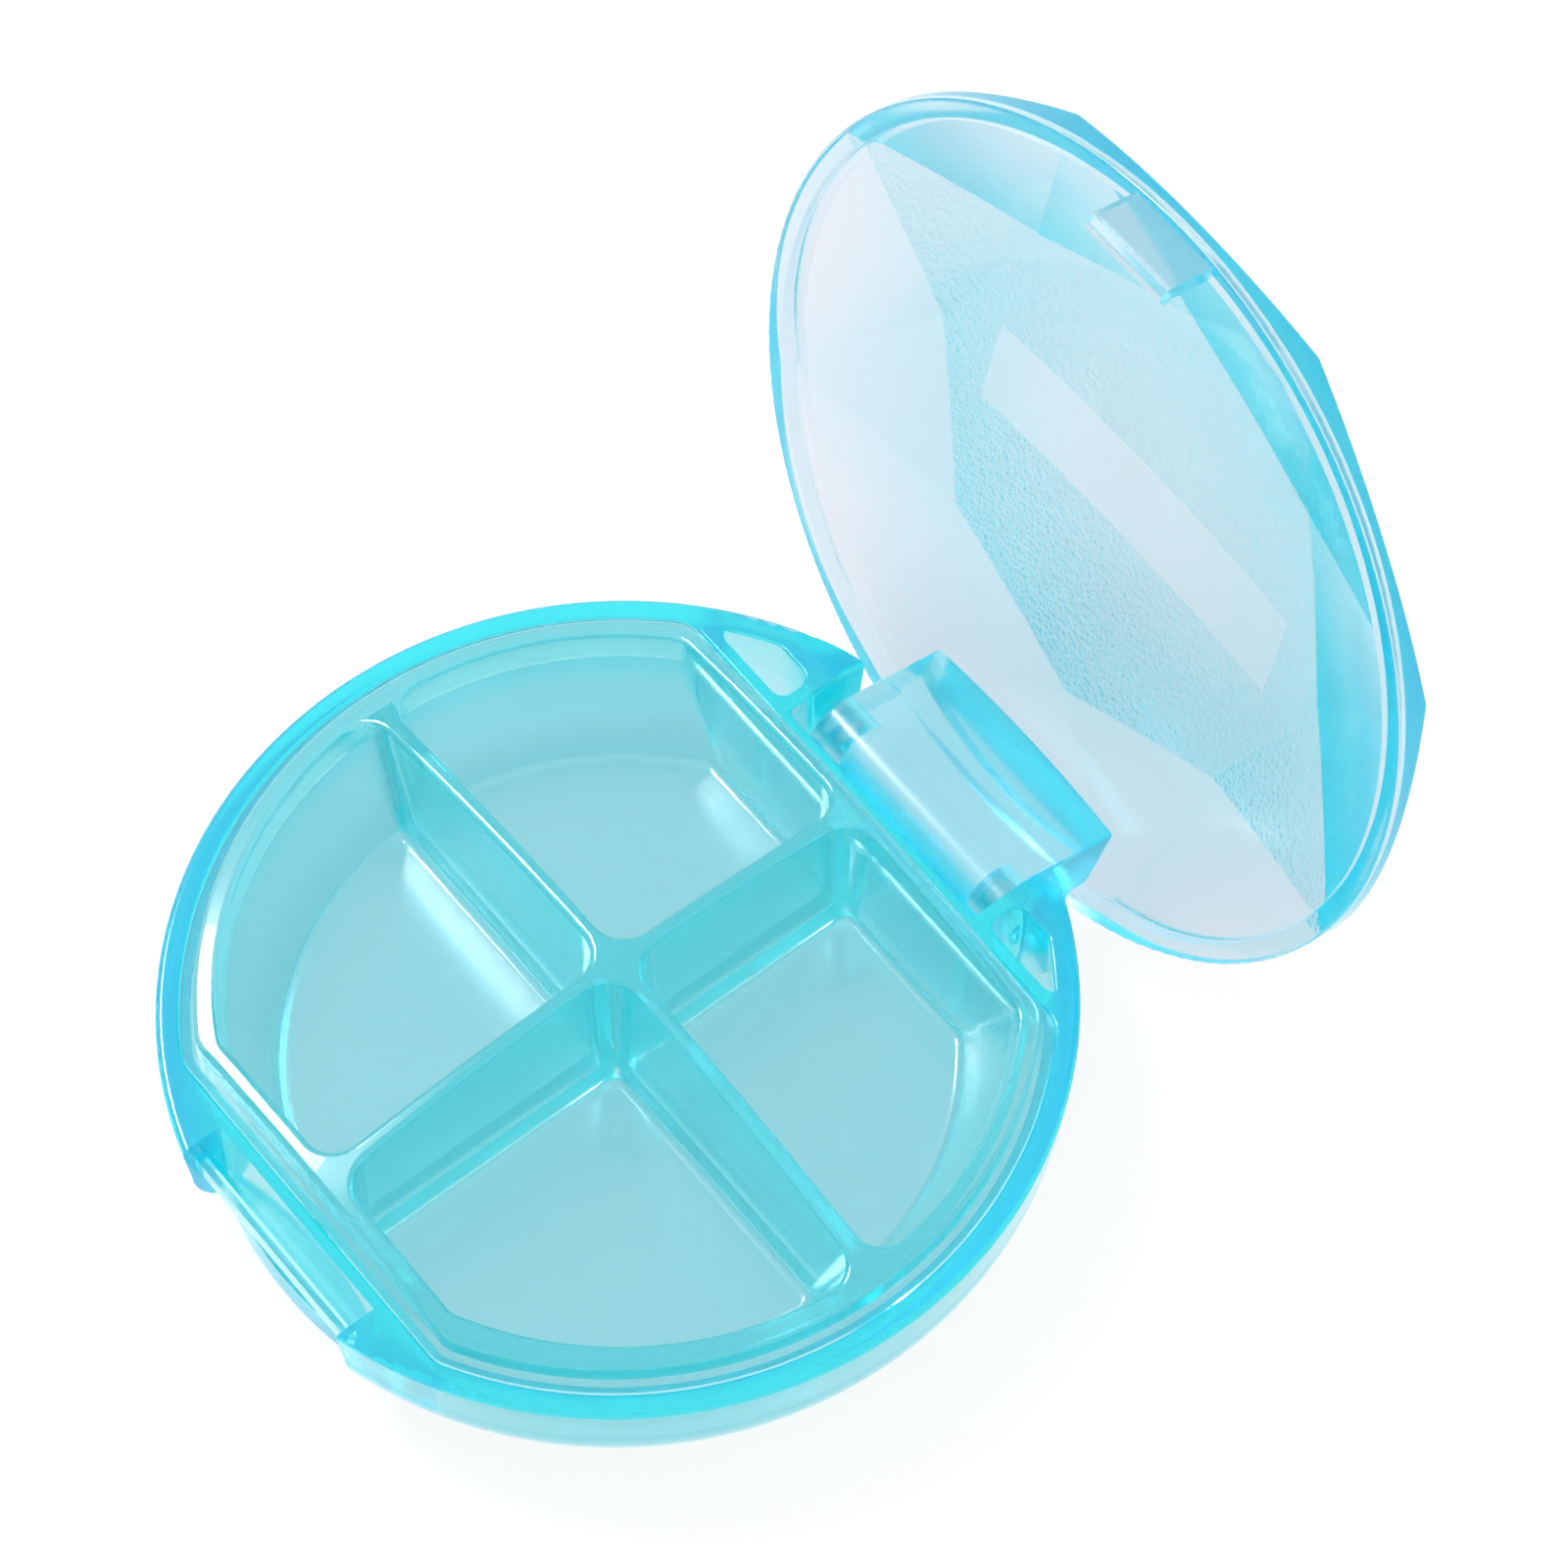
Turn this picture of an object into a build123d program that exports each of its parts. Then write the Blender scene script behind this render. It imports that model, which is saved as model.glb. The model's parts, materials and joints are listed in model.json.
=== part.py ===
from build123d import *

import math
import os

# Round pocket pill box: a bowl-shaped case, a four-compartment tray that drops into it, and a
# gem-cut lid whose knuckle turns on two stub pins moulded on the case's ears.
# Frame: origin at the centre of the case's underside, +Z up, +Y towards the hinge, -Y towards the
# latch, +X along the hinge axis. The lid is written out open, as far as its stop lets it go.

# --- driving dimensions (mm, degrees) ---------------------------------------------------------
RADIUS = 37.5             # case and lid, at the line where they meet
CASE_HEIGHT = 13.6        # underside to the deck that the lid closes on
LID_GAP = 0.2             # between the deck and the closed lid's rim
LID_OPEN = 104.0          # how far the lid is turned back from closed

# case
FLOOR = 1.6
BOWL_ROUND = 8.55         # radius of the curve from the underside to the side wall
WALL_DRAFT = 0.55         # how much the side wall leans in between the deck and that curve
DECK_ROUND = 0.6          # on the deck's outer edge
EDGE_ROUND = 0.25         # on smaller edges
CAVITY_RADIUS = 34.6
CAVITY_BACK = 25.6
CAVITY_FRONT = -30.3
FIT = 0.1                 # gap round the tray's flange

# tray
FLANGE_RADIUS = 35.4
FLANGE_BACK = 26.1
FLANGE_FRONT = -31.1
FLANGE_THICK = 1.1
FLANGE_RELIEF = 0.03       # the flange bears on four rounded ribs and clears the rebate between them
RIB_RADIUS = 1.0
LIP_RADIUS = 34.24
LIP_BACK = 25.3
LIP_FRONT = -29.9
LIP_HEIGHT = 2.0          # of the lip's edge above the deck
LIP_ROUND = 0.5
CROWN = 3.9               # how much the domed top is higher at the centre than at the lip's edge
CORNER = 3.0               # of the cavity, the flange and the lip, where a straight end begins
SKIRT_TOP_RADIUS = 32.9
SKIRT_FOOT_RADIUS = 29.1
TRAY_WALL = 1.6
SKIRT_LEAN = 0.3           # how much thinner the end walls are at the flange
TRAY_UNDERSIDE = 2.5
COMPARTMENT_FLOOR = 3.9
COMPARTMENT_RADIUS = 32.5       # at the lip's edge
COMPARTMENT_FLOOR_RADIUS = 27.9
COMPARTMENT_BACK = 23.7
COMPARTMENT_FLOOR_BACK = 22.6
COMPARTMENT_FRONT = -28.2
COMPARTMENT_FLOOR_FRONT = -27.2
DIVIDER_TOP = 1.7               # thickness at the lip's level
DIVIDER_FOOT = 3.3
FLOOR_CORNER = 1.3              # of a compartment's outline, at its floor
MOUTH_CORNER = 3.2              # and above the lip
FLOOR_ROUND = 0.8               # between a compartment's floor and its walls

# hinge
HINGE_Y = 32.2
HINGE_Z = 7.2
BARREL_RADIUS = 3.92
KNUCKLE_HALF = 11.44
NOTCH_HALF = 12.26
NOTCH_FRONT = 27.2
NOTCH_REACH = 3.0         # its edges on the deck have their middles within this of NOTCH_FRONT
PIN_RADIUS = 1.5
PIN_END = 8.7             # the tip of each stub pin, from the middle
PIN_ROOT = 0.5            # how far the pin runs into its ear
PIN_CHAMFER = 0.4
BORE_CLEARANCE = 0.05     # all round the pin
BORE_END = 8.4
POCKET_INNER = 13.5
POCKET_OUTER = 21.9
POCKET_FRONT = 27.4
POCKET_BACK = 30.6
POCKET_WALL_RADIUS = 35.3
POCKET_CORNER = 1.2

# latch
NOTCH_INNER_Y = -32.25
RECESS_HALF = 10.3
LEDGE_Z = 5.3             # the floor of the recess, behind and under the catch bar
RECESS_RADIUS = 34.3      # the wall under the ledge, set back for a thumb
BAR_INNER_Y = -34.15
BAR_OUTER_Y = -34.95
BAR_TOP = 11.35
BAR_BOTTOM = 9.4
BAR_ROOT = 0.5            # how far the bar runs into the deck at each end
TONGUE_HALF = 4.5
TONGUE_LENGTH = 5.1       # below the lid's rim
TONGUE_ROOT = 1.2         # how far it runs up into the lid's wall
TONGUE_OUTER_Y = -36.9
TONGUE_INNER_Y = -35.5
HOOK_Y = -35.15           # the hook's edge
HOOK_HEIGHT = 0.6         # of that edge above the tip
HOOK_TOP = 1.5            # where the hook meets the tongue, above the tip
TIP_SLANTS = (0.4, 0.2)   # how much the tip narrows, outside and inside
TIP_RISE = 0.5            # height of its outer slant

# lid, heights from its rim
LID_WALL = 1.76
SCALLOP_HEIGHT = 1.69     # the wall's height at the middle of a girdle facet
GIRDLE_SLOPE = 0.489
TABLE_HEIGHT = 8.25
TABLE_APOTHEM = 22.2
CROWN_SLOPE = 0.338       # of the triangular facets round the table
CEILING_HEIGHT = 6.75     # of the domed inside, at its centre
CEILING_DOME = 132.0      # radius of that dome
CEILING_CORNER = 0.9
FACETS = 8

BIG = 100.0                # larger than any piece
OVER = 1.0                 # how far a cutting shape reaches past the face it opens
PICK = 0.2                 # how far from its stated place an edge may be and still be picked
RIM_Z = CASE_HEIGHT + LID_GAP
LIP_Z = CASE_HEIGHT + LIP_HEIGHT
FLANGE_Z = CASE_HEIGHT - FLANGE_THICK
BOWL_FLAT_RADIUS = RADIUS - WALL_DRAFT - BOWL_ROUND


def span(x, y, z):
    """A box from its low and high bounds on each axis."""
    sizes = [high - low for low, high in (x, y, z)]
    middle = [(low + high) / 2 for low, high in (x, y, z)]
    return Pos(*middle) * Box(*sizes)


def trimmed_disc(radius, front, back, corner):
    """A disc with a straight edge in front and behind, its corners rounded."""
    strip = Pos(0, (front + back) / 2) * Rectangle(2 * BIG, back - front)
    face = Circle(radius) & strip
    return fillet(face.vertices(), corner)


def dome(radius, crest):
    """A ball whose highest point is at crest. It lies on its side, so that its poles are out of use."""
    return Pos(0, 0, crest - radius) * Rot(90, 0, 0) * Sphere(radius)


def prism(points, half_width):
    """A profile in the Y-Z plane, extruded both ways along X."""
    face = make_face(Polyline(*[(0, y, z) for y, z in points], close=True))
    return extrude(face, half_width, dir=(1, 0, 0), both=True)


def axis_cylinder(radius, low, high):
    """A cylinder on the hinge axis between two places along X."""
    middle = (low + high) / 2
    return Pos(middle, HINGE_Y, HINGE_Z) * Rot(0, 90, 0) * Cylinder(radius, high - low)


# --- case -------------------------------------------------------------------------------------

def bowl(inset, top):
    """The case's outer form, or the same form one wall thickness further in."""
    round_radius = BOWL_ROUND - inset
    side = BOWL_FLAT_RADIUS + round_radius
    diagonal = round_radius * math.sqrt(0.5)
    foot = (BOWL_FLAT_RADIUS, 0, inset)
    middle = (BOWL_FLAT_RADIUS + diagonal, 0, BOWL_ROUND - diagonal)
    shoulder = (side, 0, BOWL_ROUND)
    rim = (side + WALL_DRAFT, 0, top)
    outline = Line((0, 0, inset), foot) + ThreePointArc(foot, middle, shoulder)
    outline += Line(shoulder, rim) + Line(rim, (0, 0, top)) + Line((0, 0, top), (0, 0, inset))
    return revolve(make_face(outline), Axis.Z)


def cavity():
    """The space for the tray: a bowl with straight ends, and a rebate for the tray's flange."""
    inside = bowl(FLOOR, CASE_HEIGHT + OVER)
    plan = trimmed_disc(CAVITY_RADIUS, CAVITY_FRONT, CAVITY_BACK, CORNER)
    hollow = inside & extrude(plan, BIG)
    flange = trimmed_disc(FLANGE_RADIUS + FIT, FLANGE_FRONT - FIT, FLANGE_BACK + FIT, CORNER)
    return hollow + Pos(0, 0, FLANGE_Z) * extrude(flange, BIG)


def hinge_notch():
    """The gap between the ears, open at the back, with the floor left in under the barrel."""
    inside = span((-NOTCH_HALF, NOTCH_HALF), (NOTCH_FRONT, BIG), (FLOOR, BIG))
    behind = span((-NOTCH_HALF, NOTCH_HALF), (HINGE_Y, BIG), (-BIG, BIG))
    return inside + behind


def ear_relief():
    """What the lid's rim sweeps through above the ears: they are round about the hinge axis."""
    above = span((-RADIUS, RADIUS), (HINGE_Y, BIG), (HINGE_Z, BIG))
    return above - axis_cylinder(CASE_HEIGHT - HINGE_Z, -BIG, BIG)


def pocket(side):
    """A pocket beside an ear, which leaves the ear a thin cheek."""
    middle = ((POCKET_INNER + POCKET_OUTER) / 2, (POCKET_FRONT + POCKET_BACK) / 2)
    plan = Pos(*middle) * Rectangle(POCKET_OUTER - POCKET_INNER, POCKET_BACK - POCKET_FRONT)
    plan = fillet(plan.vertices(), POCKET_CORNER) & Circle(POCKET_WALL_RADIUS)
    hole = extrude(plan, BIG) & bowl(FLOOR, CASE_HEIGHT + OVER)
    return hole if side > 0 else mirror(hole, Plane.YZ)


def stub_pin(side):
    """The pin on one ear, its tip chamfered so that the knuckle snaps past it."""
    root = NOTCH_HALF + PIN_ROOT
    pin = axis_cylinder(PIN_RADIUS, *sorted((side * PIN_END, side * root)))
    tip = pin.edges().sort_by(Axis.X)[0 if side > 0 else -1]
    return chamfer(tip, PIN_CHAMFER)


def latch_recess():
    """The recess in the front: flat at the back, open down to a ledge, and set back under that."""
    width = (-RECESS_HALF, RECESS_HALF)
    above = span(width, (-BIG, NOTCH_INNER_Y), (LEDGE_Z, BIG))
    under = span(width, (-BIG, 0), (-BIG, LEDGE_Z)) - Cylinder(RECESS_RADIUS, BIG)
    return above + under


def catch_bar():
    """The bar across the recess, which the hook of the lid's tongue snaps under."""
    width = RECESS_HALF + BAR_ROOT
    return span((-width, width), (BAR_OUTER_Y, BAR_INNER_Y), (BAR_BOTTOM, BAR_TOP))


def soften_deck(body):
    """Rounds the edges of the pockets, the hinge notch and the rebate where they meet the deck."""
    deck = body.edges().group_by(Axis.Z)[-1]
    pockets = deck.filter_by(lambda edge: abs(edge.center().X) > POCKET_INNER - PICK
                             and edge.bounding_box().min.Y > POCKET_FRONT - PICK
                             and edge.bounding_box().max.Y < POCKET_BACK + PICK)
    rebate = deck.filter_by(lambda edge: edge.bounding_box().min.Y > FLANGE_FRONT - PICK
                            and edge.bounding_box().max.Y < FLANGE_BACK + PICK)
    notch = deck.filter_by(lambda edge: abs(edge.center().X) < NOTCH_HALF + PICK
                           and abs(edge.center().Y - NOTCH_FRONT) < NOTCH_REACH)
    return fillet(pockets + rebate + notch, EDGE_ROUND)


def make_case():
    body = bowl(0, CASE_HEIGHT)
    body = fillet(body.edges().group_by(Axis.Z)[-1], DECK_ROUND)
    body -= cavity()
    body -= hinge_notch() + ear_relief()
    body -= pocket(1) + pocket(-1)
    body -= latch_recess()
    body += catch_bar()
    body = soften_deck(body)
    for side in (-1, 1):
        body += stub_pin(side)
    return body


# --- tray -------------------------------------------------------------------------------------

def compartment_plan(sign_x, sign_y, radius, end, half_divider, corner):
    """One compartment's outline: a quarter of the disc, less the dividers and the flat end."""
    low, high = half_divider, abs(end)
    middle = (sign_x * BIG / 2 + sign_x * low, sign_y * (low + high) / 2)
    quarter = Circle(radius) & (Pos(*middle) * Rectangle(BIG, high - low))
    return fillet(quarter.vertices(), corner)


def compartment(sign_x, sign_y):
    """The space in one compartment, from its floor to above the tray's domed top."""
    floor_end, lip_end = ((COMPARTMENT_FLOOR_BACK, COMPARTMENT_BACK) if sign_y > 0
                          else (COMPARTMENT_FLOOR_FRONT, COMPARTMENT_FRONT))
    top = LIP_Z + CROWN + OVER
    rise = (top - COMPARTMENT_FLOOR) / (LIP_Z - COMPARTMENT_FLOOR)

    def at_top(floor_value, lip_value):
        return floor_value + (lip_value - floor_value) * rise

    floor = compartment_plan(sign_x, sign_y, COMPARTMENT_FLOOR_RADIUS, floor_end,
                             DIVIDER_FOOT / 2, FLOOR_CORNER)
    mouth = compartment_plan(sign_x, sign_y, at_top(COMPARTMENT_FLOOR_RADIUS, COMPARTMENT_RADIUS),
                             at_top(floor_end, lip_end), at_top(DIVIDER_FOOT, DIVIDER_TOP) / 2,
                             MOUTH_CORNER)
    space = loft([Pos(0, 0, COMPARTMENT_FLOOR) * floor, Pos(0, 0, top) * mouth], ruled=True)
    return fillet(space.faces().sort_by(Axis.Z)[0].edges(), FLOOR_ROUND)


def flange_relief(flange, skirt_top):
    """A thin gap to cut under the flange, which leaves a rounded rib on each side and each end."""
    gap = Pos(0, 0, FLANGE_Z) * extrude(flange - skirt_top, FLANGE_RELIEF)
    rib = Pos(0, 0, FLANGE_Z + RIB_RADIUS) * Rot(90, 0, 0) * Cylinder(RIB_RADIUS, BIG)
    return gap - rib - Rot(0, 0, 90) * rib


def make_tray():
    flange = trimmed_disc(FLANGE_RADIUS, FLANGE_FRONT, FLANGE_BACK, CORNER)
    lip = trimmed_disc(LIP_RADIUS, LIP_FRONT, LIP_BACK, CORNER)
    skirt_top = trimmed_disc(SKIRT_TOP_RADIUS, COMPARTMENT_FRONT - TRAY_WALL + SKIRT_LEAN,
                             COMPARTMENT_BACK + TRAY_WALL - SKIRT_LEAN, CORNER)
    skirt_foot = trimmed_disc(SKIRT_FOOT_RADIUS, COMPARTMENT_FLOOR_FRONT - TRAY_WALL,
                              COMPARTMENT_FLOOR_BACK + TRAY_WALL, CORNER)
    body = Pos(0, 0, FLANGE_Z) * extrude(flange, FLANGE_THICK)
    body += Pos(0, 0, FLANGE_Z) * extrude(lip, FLANGE_THICK + LIP_HEIGHT + CROWN + OVER)
    body += loft([Pos(0, 0, TRAY_UNDERSIDE) * skirt_foot, Pos(0, 0, FLANGE_Z) * skirt_top], ruled=True)
    body -= flange_relief(flange, skirt_top)
    body &= dome(LIP_RADIUS ** 2 / (2 * CROWN), LIP_Z + CROWN)
    for sign_x in (-1, 1):
        for sign_y in (-1, 1):
            body -= compartment(sign_x, sign_y)
    crest = body.faces().filter_by(GeomType.SPHERE)[0]
    return fillet(crest.edges(), LIP_ROUND)


# --- lid --------------------------------------------------------------------------------------

def facet_cone(reach, slope, turn):
    """Eight planes round the lid: reach is the apothem at the rim, slope the rise per mm inward."""
    top = TABLE_HEIGHT
    foot = Rot(0, 0, turn) * RegularPolygon(reach, FACETS, major_radius=False)
    head = Rot(0, 0, turn) * RegularPolygon(reach - top / slope, FACETS, major_radius=False)
    return loft([foot, Pos(0, 0, top) * head], ruled=True)


def lid_form():
    """The lid's outer form, from its rim at z = 0: girdle facets, crown facets and flat table."""
    turn = 180 / FACETS
    disc = Pos(0, 0, TABLE_HEIGHT / 2) * Cylinder(RADIUS, TABLE_HEIGHT)
    girdle = facet_cone(RADIUS + SCALLOP_HEIGHT / GIRDLE_SLOPE, GIRDLE_SLOPE, turn)
    crown = facet_cone(TABLE_APOTHEM + TABLE_HEIGHT / CROWN_SLOPE, CROWN_SLOPE, 0)
    return disc & girdle & crown


def lid_cavity():
    """The hollow under the domed ceiling, with a rounded corner where it meets the wall."""
    height = CEILING_HEIGHT + 2 * OVER
    hollow = Pos(0, 0, height / 2 - 2 * OVER) * Cylinder(RADIUS - LID_WALL, height)
    hollow &= dome(CEILING_DOME, CEILING_HEIGHT)
    return fillet(hollow.edges().group_by(Axis.Z)[-1], CEILING_CORNER)


def knuckle(form):
    """The hinge block: a slab down from the lid with a round end about the axis, and two bores."""
    axis_z = HINGE_Z - RIM_Z
    width = (-KNUCKLE_HALF, KNUCKLE_HALF)
    slab = span(width, (HINGE_Y - BARREL_RADIUS, HINGE_Y + BARREL_RADIUS), (axis_z, BIG))
    barrel = Pos(0, HINGE_Y, axis_z) * Rot(0, 90, 0) * Cylinder(BARREL_RADIUS, 2 * KNUCKLE_HALF)
    block = slab + barrel
    ends = block.edges().filter_by(lambda edge: abs(edge.center().X) > KNUCKLE_HALF - PICK)
    block = fillet(ends, EDGE_ROUND)
    below = Pos(0, 0, -BIG / 2) * Cylinder(RADIUS, BIG)
    block &= form + below
    for side in (-1, 1):
        bore = Cylinder(PIN_RADIUS + BORE_CLEARANCE, BIG - BORE_END)
        block -= Pos(side * (BORE_END + BIG) / 2, HINGE_Y, axis_z) * Rot(0, 90, 0) * bore
    return block


def tongue():
    """The latch tongue under the front of the rim, with a hook along its inner edge."""
    tip = -TONGUE_LENGTH
    outer_slant, inner_slant = TIP_SLANTS
    points = [(TONGUE_OUTER_Y, TONGUE_ROOT), (TONGUE_OUTER_Y, tip + TIP_RISE),
              (TONGUE_OUTER_Y + outer_slant, tip), (TONGUE_INNER_Y - inner_slant, tip),
              (HOOK_Y, tip + HOOK_HEIGHT), (TONGUE_INNER_Y, tip + HOOK_TOP),
              (TONGUE_INNER_Y, TONGUE_ROOT)]
    return prism(points, TONGUE_HALF)


def make_lid():
    form = lid_form()
    form = fillet(form.edges(), EDGE_ROUND)
    body = form - lid_cavity() + knuckle(form) + tongue()
    axis = Axis((0, HINGE_Y, HINGE_Z), (1, 0, 0))
    return (Pos(0, 0, RIM_Z) * body).rotate(axis, -LID_OPEN)


def main():
    os.makedirs("parts", exist_ok=True)
    nodes = {
        "case": make_case(),
        "compartment_tray": make_tray(),
        "lid": make_lid(),
    }
    for name, shape in nodes.items():
        export_step(shape, f"parts/{name}.step")
        print(name, round(shape.volume), "mm3")


main()
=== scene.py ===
import json
import math

import bpy
from mathutils import Matrix, Vector

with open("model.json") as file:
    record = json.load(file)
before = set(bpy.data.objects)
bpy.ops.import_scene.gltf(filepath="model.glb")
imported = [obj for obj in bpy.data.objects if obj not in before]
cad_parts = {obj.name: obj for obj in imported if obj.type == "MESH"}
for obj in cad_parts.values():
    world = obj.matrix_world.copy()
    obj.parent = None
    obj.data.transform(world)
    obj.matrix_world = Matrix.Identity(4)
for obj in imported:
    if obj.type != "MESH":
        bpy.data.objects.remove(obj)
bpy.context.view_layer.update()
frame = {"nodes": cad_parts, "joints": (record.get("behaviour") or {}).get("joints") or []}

# --- the camera: degrees and metres -------------------------------------------------------------
VIEW_AZIMUTH = 52.23      # 0 looks along +Y, and it turns towards -X
VIEW_ELEVATION = 60.34
VIEW_ROLL = 0.6
VIEW_DISTANCE = 0.5831
VIEW_TARGET = Vector((-0.00694, 0.0226, 0.0137))
VIEW_LENS = 162.9         # mm, on a sensor SENSOR mm wide
SENSOR = 36
CLIP_START = 0.01

# --- the studio ---------------------------------------------------------------------------------
SKY_STRENGTH = 1.0
KEY_PLACE = (-0.35, -0.1, 0.5)
KEY_AIM = (0, 0.01, 0.01)
KEY_SIZE = 0.25
KEY_POWER = 3.0
FLOOR_SIZE = 6
FLOOR_Z = -0.0002
FLOOR_GREY = 0.16
FLOOR_ROUGHNESS = 0.9
FLOOR_LIGHT = 0.835       # keeps the floor as white as the sky
BOUNCES = 24

# --- the plastics -------------------------------------------------------------------------------
# tint: what crossing the piece's two surfaces leaves of each colour.
# lost_per_mm: the share of each colour that a millimetre of plastic absorbs.
# the glow: painted light, an emission that stands in for the light the slightly cloudy plastic scatters
# in a white studio.
CASE_PLASTIC = dict(tint=(0.97, 0.745, 0.80), lost_per_mm=(0.37, 0.008, 0.002), painted_glow=(0, 0.052, 0.052))
TRAY_PLASTIC = dict(tint=(0.60, 0.745, 0.785), lost_per_mm=(0.08, 0.006, 0.004),
                    painted_glow=(0.008, 0.042, 0.044))
LID_PLASTIC = dict(tint=(0.84, 0.71, 0.775), lost_per_mm=(0.085, 0.008, 0.002), painted_glow=(0, 0.052, 0.052))
MM_PER_M = 1000
IOR = 1.49
COAT_WEIGHT = 0.4         # the crisp skin over the softer body
COAT_ROUGHNESS = 0.03
ROUGHNESS = (0.12, 0.22)  # least and most
ROUGHNESS_SCALE = 90.0    # noise scales are per metre
ROUGHNESS_DETAIL = 2.0
FLOW_SCALE = 60.0
FLOW_DETAIL = 1.0
FLOW_DEPTH = 0.0002
FLOW_STRENGTH = 0.15

# --- the grain on the lid, placed as if the lid were closed -------------------------------------
HINGE = Vector(frame["joints"][0]["pos_m"])
LID_OPEN = math.radians(frame["joints"][0]["range_deg"][1])
TABLE_Z = 0.02201         # just under the flat table
CROWN_Z = 0.0165          # just under the facets round it
CROWN_SLOPE = 0.338
GRAINED_FACETS = (22.5, -157.5)   # the ways they face, in degrees from +X
SAME_WAY = 0.9996         # cosine between a facet's normal and that of a surface counted as part of it
PANEL = (0.0364, 0.009)   # the smooth panel on the table
GRAIN_SCALE = 2000.0
GRAIN_DEPTH = 0.00008
GRAIN_STRENGTH = 0.6
GRAIN_ROUGHNESS = 0.12    # added to that of the smooth plastic
GRAIN_TINT = (0.60, 0.66, 0.75)
GRAIN_TINT_GAIN = 1.6     # brings the pebbles' height to about 1 at their rims


def make_camera():
    """The camera, placed by where it looks, from how far and how it is rolled."""
    azimuth, elevation = math.radians(VIEW_AZIMUTH), math.radians(VIEW_ELEVATION)
    look = Vector((-math.sin(azimuth) * math.cos(elevation),
                   math.cos(azimuth) * math.cos(elevation), -math.sin(elevation)))
    right = Vector((math.cos(azimuth), math.sin(azimuth), 0))
    right = Matrix.Rotation(math.radians(VIEW_ROLL), 3, look) @ right
    up = right.cross(look)
    camera = bpy.data.objects.new("camera", bpy.data.cameras.new("camera"))
    camera.data.lens = VIEW_LENS
    camera.data.sensor_width = SENSOR
    camera.data.clip_start = CLIP_START
    place = Matrix((right, up, -look)).transposed().to_4x4()
    camera.matrix_world = Matrix.Translation(VIEW_TARGET - look * VIEW_DISTANCE) @ place
    bpy.context.scene.collection.objects.link(camera)
    bpy.context.scene.camera = camera


def make_key_light():
    light = bpy.data.objects.new("key", bpy.data.lights.new("key", "AREA"))
    light.data.shape = "DISK"
    light.data.size = KEY_SIZE
    light.data.energy = KEY_POWER
    light.location = KEY_PLACE
    light.rotation_euler = (Vector(KEY_AIM) - Vector(KEY_PLACE)).to_track_quat("-Z", "Y").to_euler()
    bpy.context.scene.collection.objects.link(light)


def make_sky():
    """A plain white studio all round."""
    world = bpy.data.worlds.new("studio")
    world.use_nodes = True
    sky = world.node_tree.nodes["Background"]
    sky.inputs["Color"].default_value = (1, 1, 1, 1)
    sky.inputs["Strength"].default_value = SKY_STRENGTH
    bpy.context.scene.world = world


def make_floor():
    """A floor whose whiteness is mostly its own light, so that the shadow on it is faint."""
    bpy.ops.mesh.primitive_plane_add(size=FLOOR_SIZE, location=(0, 0, FLOOR_Z))
    floor = bpy.context.object
    floor.name = "floor"
    paint = bpy.data.materials.new("floor_paint")
    paint.use_nodes = True
    shader = paint.node_tree.nodes["Principled BSDF"]
    shader.inputs["Base Color"].default_value = (FLOOR_GREY, FLOOR_GREY, FLOOR_GREY, 1)
    shader.inputs["Roughness"].default_value = FLOOR_ROUGHNESS
    shader.inputs["Emission Color"].default_value = (1, 1, 1, 1)
    shader.inputs["Emission Strength"].default_value = FLOOR_LIGHT
    floor.data.materials.append(paint)


def set_light_paths():
    scene = bpy.context.scene
    scene.view_settings.view_transform = "Standard"
    scene.cycles.max_bounces = BOUNCES
    scene.cycles.transmission_bounces = BOUNCES
    scene.cycles.glossy_bounces = BOUNCES


# --- nodes --------------------------------------------------------------------------------------

def maths(tree, operation, *values):
    """A maths node; each value is a number or another node's output."""
    node = tree.nodes.new("ShaderNodeMath")
    node.operation = operation
    for socket, value in zip(node.inputs, values):
        if isinstance(value, (int, float)):
            socket.default_value = value
        else:
            tree.links.new(value, socket)
    return node.outputs["Value"]


def object_place(tree):
    """Where a point is on the object, in metres."""
    return tree.nodes.new("ShaderNodeTexCoord").outputs["Object"]


def noise(tree, scale, detail):
    node = tree.nodes.new("ShaderNodeTexNoise")
    node.inputs["Scale"].default_value = scale
    node.inputs["Detail"].default_value = detail
    tree.links.new(object_place(tree), node.inputs["Vector"])
    return node.outputs["Fac"]


def bump(tree, height, depth, strength, normal=None):
    """A bumped normal, on top of another one if it is given."""
    node = tree.nodes.new("ShaderNodeBump")
    node.inputs["Distance"].default_value = depth
    node.inputs["Strength"].default_value = strength
    tree.links.new(height, node.inputs["Height"])
    if normal is not None:
        tree.links.new(normal, node.inputs["Normal"])
    return node.outputs["Normal"]


def set_normal(tree, shader, normal):
    """Sets the normal of the plastic and of the coat over it."""
    tree.links.new(normal, shader.inputs["Normal"])
    tree.links.new(normal, shader.inputs["Coat Normal"])


# --- the clear plastic --------------------------------------------------------------------------

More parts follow.
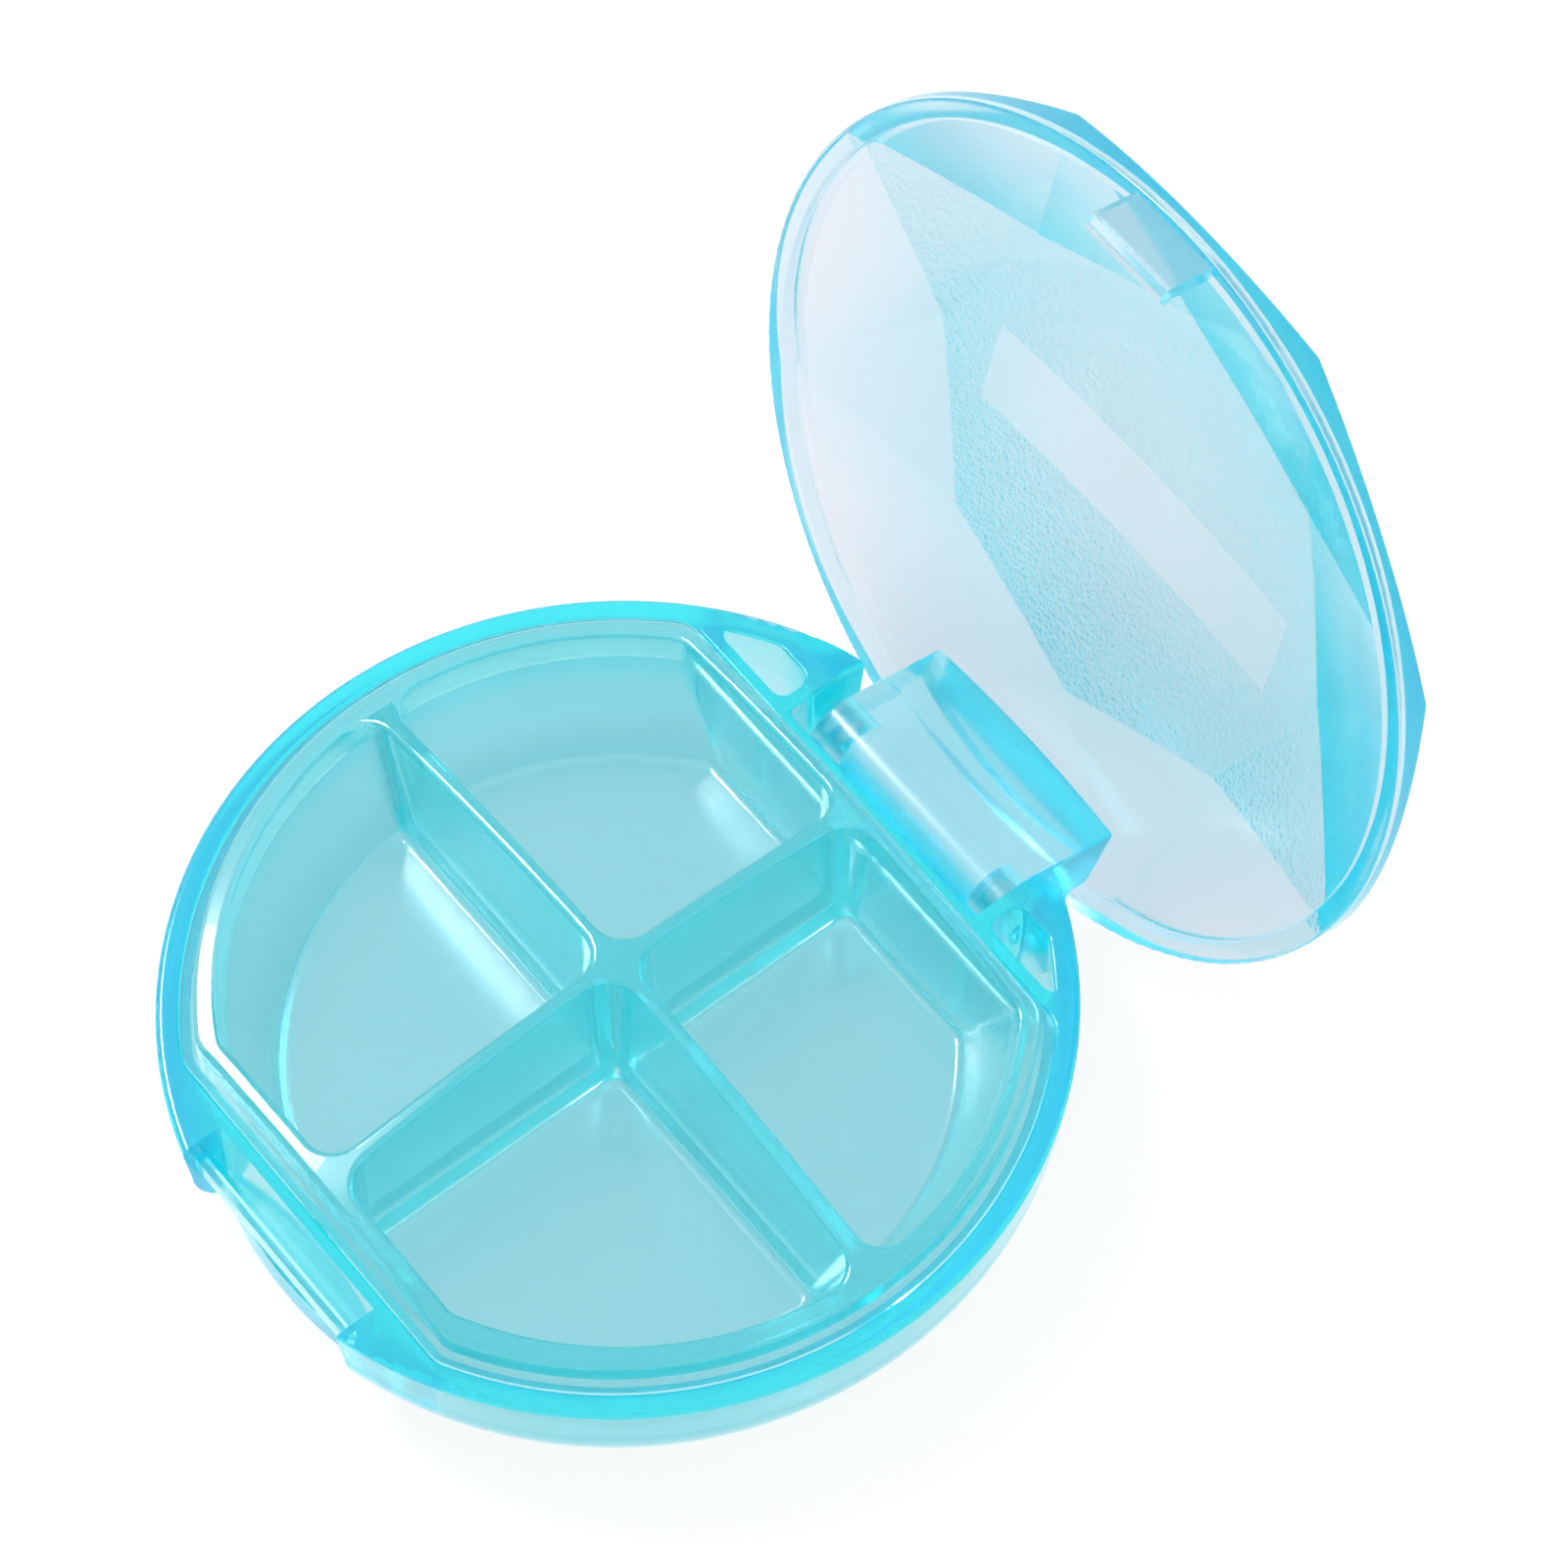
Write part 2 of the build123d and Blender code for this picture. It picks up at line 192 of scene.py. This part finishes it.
def clear_plastic(name, tint, lost_per_mm, painted_glow):
    """Tinted clear plastic with slight unevenness, left by the mould, in its polish and surface."""
    material = bpy.data.materials.new(name)
    material.use_nodes = True
    tree = material.node_tree
    shader = tree.nodes["Principled BSDF"]
    shader.inputs["Base Color"].default_value = (*tint, 1)
    shader.inputs["Transmission Weight"].default_value = 1.0
    shader.inputs["IOR"].default_value = IOR
    shader.inputs["Coat Weight"].default_value = COAT_WEIGHT
    shader.inputs["Coat Roughness"].default_value = COAT_ROUGHNESS
    shader.inputs["Coat IOR"].default_value = IOR
    # Painted light: the plastic emits a faint glow that stands in for studio light scattered inside it.
    shader.inputs["Emission Color"].default_value = (*painted_glow, 1)
    shader.inputs["Emission Strength"].default_value = 1.0
    add_absorption(tree, lost_per_mm)

    smoothest, roughest = ROUGHNESS
    polish = maths(tree, "MULTIPLY_ADD", noise(tree, ROUGHNESS_SCALE, ROUGHNESS_DETAIL),
                   roughest - smoothest, smoothest)
    tree.links.new(polish, shader.inputs["Roughness"])
    flow = noise(tree, FLOW_SCALE, FLOW_DETAIL)
    set_normal(tree, shader, bump(tree, flow, FLOW_DEPTH, FLOW_STRENGTH))
    return material


def add_absorption(tree, lost_per_mm):
    """Absorption in the volume. The node takes a density and a colour, and loses 1 - colour."""
    most = max(lost_per_mm)
    node = tree.nodes.new("ShaderNodeVolumeAbsorption")
    node.inputs["Density"].default_value = most * MM_PER_M
    node.inputs["Color"].default_value = (*[1 - lost / most for lost in lost_per_mm], 1)
    tree.links.new(node.outputs["Volume"], tree.nodes["Material Output"].inputs["Volume"])


# --- the lid's grain ----------------------------------------------------------------------------

def turned_to_closed(tree, vector, centre):
    """A place or normal on the open lid, as it is when the lid is closed."""
    node = tree.nodes.new("ShaderNodeVectorRotate")
    node.rotation_type = "X_AXIS"
    node.inputs["Center"].default_value = centre
    node.inputs["Angle"].default_value = LID_OPEN
    tree.links.new(vector, node.inputs["Vector"])
    return node.outputs["Vector"]


def on_table(tree, place):
    """1 on the flat table, except on its smooth panel."""
    table = maths(tree, "GREATER_THAN", place["Z"], TABLE_Z)
    in_width = maths(tree, "LESS_THAN", maths(tree, "ABSOLUTE", place["X"]), PANEL[0] / 2)
    in_depth = maths(tree, "LESS_THAN", maths(tree, "ABSOLUTE", place["Y"]), PANEL[1] / 2)
    panel = maths(tree, "MULTIPLY", in_width, in_depth)
    return maths(tree, "MULTIPLY", table, maths(tree, "SUBTRACT", 1.0, panel))


def on_facet(tree, place, normal, azimuth):
    """1 on the crown facet that faces this way. Its sign is dropped: seen from inside, it is turned."""
    angle = math.radians(azimuth)
    facet = Vector((CROWN_SLOPE * math.cos(angle), CROWN_SLOPE * math.sin(angle), 1)).normalized()
    node = tree.nodes.new("ShaderNodeVectorMath")
    node.operation = "DOT_PRODUCT"
    node.inputs[1].default_value = facet
    tree.links.new(normal, node.inputs[0])
    along = maths(tree, "ABSOLUTE", node.outputs["Value"])
    facing = maths(tree, "GREATER_THAN", along, SAME_WAY)
    return maths(tree, "MULTIPLY", facing, maths(tree, "GREATER_THAN", place["Z"], CROWN_Z))


def grained_part(tree):
    """1 where the lid's outside is pebbled."""
    coordinates = tree.nodes.new("ShaderNodeTexCoord").outputs
    normal = turned_to_closed(tree, coordinates["Normal"], Vector())
    split = tree.nodes.new("ShaderNodeSeparateXYZ")
    tree.links.new(turned_to_closed(tree, coordinates["Object"], HINGE), split.inputs["Vector"])
    grained = on_table(tree, split.outputs)
    for azimuth in GRAINED_FACETS:
        grained = maths(tree, "MAXIMUM", grained, on_facet(tree, split.outputs, normal, azimuth))
    return grained


def add_grain(material):
    """Pebbles the lid's outside: bumps, a duller polish and a mottled tint."""
    tree = material.node_tree
    shader = tree.nodes["Principled BSDF"]
    grained = grained_part(tree)
    pebbles = tree.nodes.new("ShaderNodeTexVoronoi")
    pebbles.inputs["Scale"].default_value = GRAIN_SCALE
    tree.links.new(object_place(tree), pebbles.inputs["Vector"])
    height = maths(tree, "MULTIPLY", pebbles.outputs["Distance"], grained)

    smooth = shader.inputs["Normal"].links[0].from_socket
    set_normal(tree, shader, bump(tree, height, GRAIN_DEPTH, GRAIN_STRENGTH, smooth))
    polish = shader.inputs["Roughness"].links[0].from_socket
    polish = maths(tree, "MULTIPLY_ADD", grained, GRAIN_ROUGHNESS, polish)
    tree.links.new(polish, shader.inputs["Roughness"])

    # A Mix node has a set of sockets for each kind of data, and those for colours come last.
    tint = tree.nodes.new("ShaderNodeMix")
    tint.data_type = "RGBA"
    factor, smooth_tint, grain_tint = tint.inputs[0], tint.inputs[6], tint.inputs[7]
    smooth_tint.default_value = shader.inputs["Base Color"].default_value
    grain_tint.default_value = (*GRAIN_TINT, 1)
    tree.links.new(maths(tree, "MULTIPLY", height, GRAIN_TINT_GAIN), factor)
    tree.links.new(tint.outputs[2], shader.inputs["Base Color"])


def dress(node, material):
    """Gives a CAD node its material. Its mesh is left as it is."""
    mesh = frame["nodes"][node].data
    mesh.materials.clear()
    mesh.materials.append(material)


make_camera()
make_sky()
make_key_light()
make_floor()
set_light_paths()
dress("case", clear_plastic("case_plastic", **CASE_PLASTIC))
dress("compartment_tray", clear_plastic("tray_plastic", **TRAY_PLASTIC))
lid_plastic = clear_plastic("lid_plastic", **LID_PLASTIC)
add_grain(lid_plastic)
dress("lid", lid_plastic)
